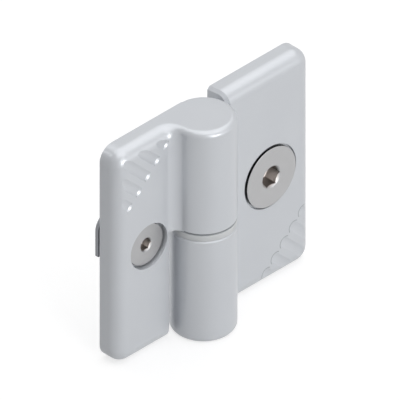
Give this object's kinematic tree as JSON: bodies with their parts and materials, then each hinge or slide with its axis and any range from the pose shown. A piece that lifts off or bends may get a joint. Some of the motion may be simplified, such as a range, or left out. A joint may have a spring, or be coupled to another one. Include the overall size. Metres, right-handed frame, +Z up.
{
  "type": "lift off hinge",
  "caption": "Die-cast lift-off hinge for slotted profiles: a wide frame leaf with the pin, a narrow door leaf on top, a thrust washer, socket screws and slot nuts.",
  "frame": {"origin": "on the pin axis, in the plane of the hinge's foot", "axes": "+Z up along the pin axis; +Y towards the profiles that the leaves are screwed to; +X towards the frame leaf"},
  "size_m": [0.0639, 0.0268, 0.06],
  "materials": {
    "leaf_coating": "zinc die casting with a smooth satin silver-grey powder coat",
    "pin_steel": "ground stainless steel pin",
    "bearing_polymer": "moulded acetal bush, natural colour",
    "washer_polymer": "moulded acetal washer, grey",
    "screw_zinc": "bright zinc-plated steel, turned head",
    "nut_zinc": "zinc-plated steel, pressed"
  },
  "bodies": {
    "frame": {"frame_leaf": "leaf_coating", "hinge_pin": "pin_steel", "frame_screw": "screw_zinc", "frame_nut": "nut_zinc"},
    "washer": {"thrust_washer": "washer_polymer"},
    "door": {"door_leaf": "leaf_coating", "pin_bush": "bearing_polymer", "door_screw": "screw_zinc", "door_nut": "nut_zinc"}
  },
  "joints": [
    {"name": "swing", "type": "hinge", "parent": "frame", "child": "washer", "pos_m": [0, 0, 0.03], "axis": [0, 0, 1], "range_deg": [0, 180]},
    {"name": "lift_off", "type": "slide", "parent": "washer", "child": "door", "axis": [0, 0, 1], "range_m": [0, 0.025]}
  ]
}
